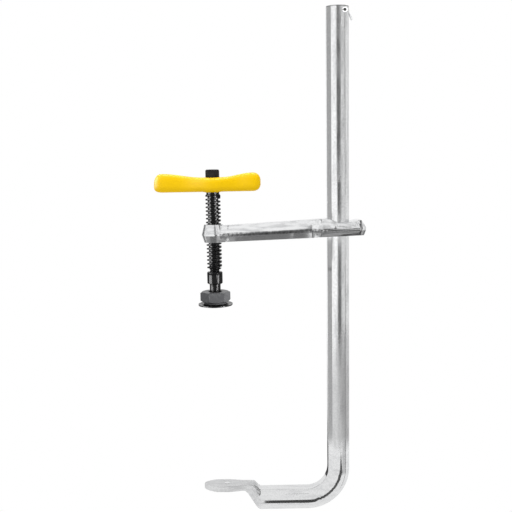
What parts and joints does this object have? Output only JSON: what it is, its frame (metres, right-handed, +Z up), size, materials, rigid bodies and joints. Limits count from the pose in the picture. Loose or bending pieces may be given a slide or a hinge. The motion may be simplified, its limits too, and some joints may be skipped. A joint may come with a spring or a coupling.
{
  "type": "sliding-arm clamp",
  "caption": "Forged sliding-arm screw clamp with a bent bar and spoon jaw, a threaded spindle, a swivel pad and a moulded wing handle.",
  "frame": {"origin": "on the fixed jaw's face, where the spindle's axis meets it", "axes": "+Z up along the bar and the spindle, +X from the spindle towards the bar, +Y across the bar"},
  "size_m": [0.2207, 0.0368, 0.537],
  "materials": {
    "zinc_bar": "bright zinc plate, satin",
    "zinc_forging": "zinc plate on a rough forged skin",
    "spring_steel": "bright spring steel",
    "black_oxide": "oiled black oxide",
    "dark_pad": "dark grey phosphate",
    "core_steel": "plain steel",
    "yellow_grip": "satin moulded plastic"
  },
  "bodies": {
    "frame": {"bar": "zinc_bar", "stop_pin": "spring_steel"},
    "stop": {"stop_spring": "spring_steel"},
    "arm": {"sliding_arm": "zinc_forging"},
    "ring": {"retaining_ring": "spring_steel"},
    "spindle": {"spindle": "black_oxide", "swivel_stud": "black_oxide", "handle_core": "core_steel", "handle_grip": "yellow_grip", "handle_screw": "black_oxide"},
    "pad": {"pad_cap": "dark_pad", "pad_foot": "black_oxide"}
  },
  "joints": [
    {"name": "stop_press", "type": "hinge", "parent": "frame", "child": "stop", "pos_m": [0.1386, 0, 0.5034], "axis": [0, 1, 0], "range_deg": [0, 24], "stiffness_Nm_per_rad": 0.03},
    {"name": "arm_slide", "type": "slide", "parent": "frame", "child": "arm", "axis": [0, 0, 1], "range_m": [-0.165, 0.203]},
    {"name": "spindle_feed", "type": "slide", "parent": "arm", "child": "ring", "axis": [0, 0, -1], "range_m": [-0.03101, 0.03201]},
    {"name": "spindle_turn", "type": "hinge", "parent": "ring", "child": "spindle", "pos_m": [0, 0, 0.211], "axis": [0, 0, -1], "range_deg": [-2790, 2880]},
    {"name": "pad_tilt", "type": "hinge", "parent": "ring", "child": "pad", "pos_m": [0, 0, 0.211], "axis": [0, 1, 0], "range_deg": [-11, 11]}
  ],
  "couplings": [
    {"joint": "spindle_feed", "follows": "spindle_turn", "m_per_rad": 0.00063662}
  ]
}
